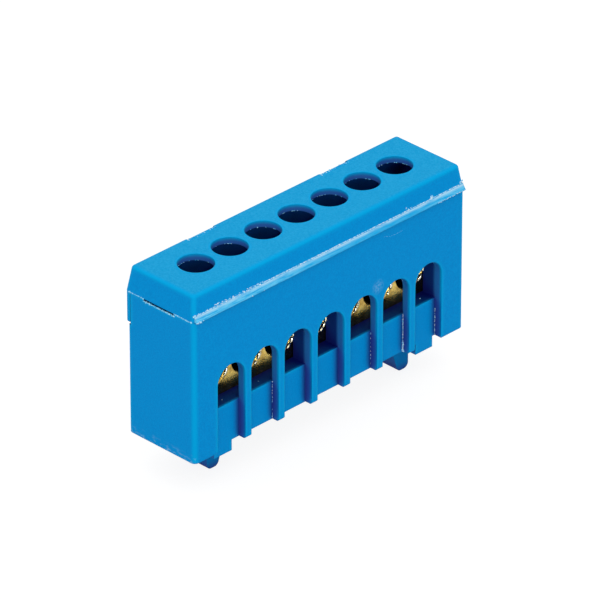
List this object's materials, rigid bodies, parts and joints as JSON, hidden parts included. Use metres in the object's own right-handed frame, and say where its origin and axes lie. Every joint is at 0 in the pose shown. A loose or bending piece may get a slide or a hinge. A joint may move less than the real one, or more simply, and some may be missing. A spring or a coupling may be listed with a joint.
{
  "type": "neutral terminal block",
  "caption": "Insulated neutral terminal block: a drilled brass bar with clamp screws in a blue moulded base under a clipped cover, for a 35 mm mounting rail.",
  "frame": {"origin": "on the plane where the underside meets the rail, midway along the row and in line with the clamp screws", "axes": "+X along the row of terminals, -Y towards the side the wires enter, +Z away from the rail towards the cover"},
  "size_m": [0.0534, 0.0138, 0.0319],
  "materials": {
    "housing_plastic": "moulded blue polyamide, fine satin",
    "cover_plastic": "moulded blue polyamide, fine satin",
    "bar_brass": "drawn brass, drilled",
    "screw_steel": "zinc plated"
  },
  "bodies": {
    "block": {"housing": "housing_plastic", "cover": "cover_plastic", "busbar": "bar_brass"},
    "screw_1": {"clamp_screw_1": "screw_steel"},
    "screw_2": {"clamp_screw_2": "screw_steel"},
    "screw_3": {"clamp_screw_3": "screw_steel"},
    "screw_4": {"clamp_screw_4": "screw_steel"},
    "screw_5": {"clamp_screw_5": "screw_steel"},
    "screw_6": {"clamp_screw_6": "screw_steel"},
    "screw_7": {"clamp_screw_7": "screw_steel"}
  },
  "joints": [
    {"name": "clamp_1", "type": "slide", "parent": "block", "child": "screw_1", "axis": [0, 0, -1], "range_m": [-0.0015, 0.0032]},
    {"name": "clamp_2", "type": "slide", "parent": "block", "child": "screw_2", "axis": [0, 0, -1], "range_m": [-0.0015, 0.0032]},
    {"name": "clamp_3", "type": "slide", "parent": "block", "child": "screw_3", "axis": [0, 0, -1], "range_m": [-0.0015, 0.0032]},
    {"name": "clamp_4", "type": "slide", "parent": "block", "child": "screw_4", "axis": [0, 0, -1], "range_m": [-0.0015, 0.0032]},
    {"name": "clamp_5", "type": "slide", "parent": "block", "child": "screw_5", "axis": [0, 0, -1], "range_m": [-0.0015, 0.0032]},
    {"name": "clamp_6", "type": "slide", "parent": "block", "child": "screw_6", "axis": [0, 0, -1], "range_m": [-0.0015, 0.0032]},
    {"name": "clamp_7", "type": "slide", "parent": "block", "child": "screw_7", "axis": [0, 0, -1], "range_m": [-0.0015, 0.0032]}
  ]
}
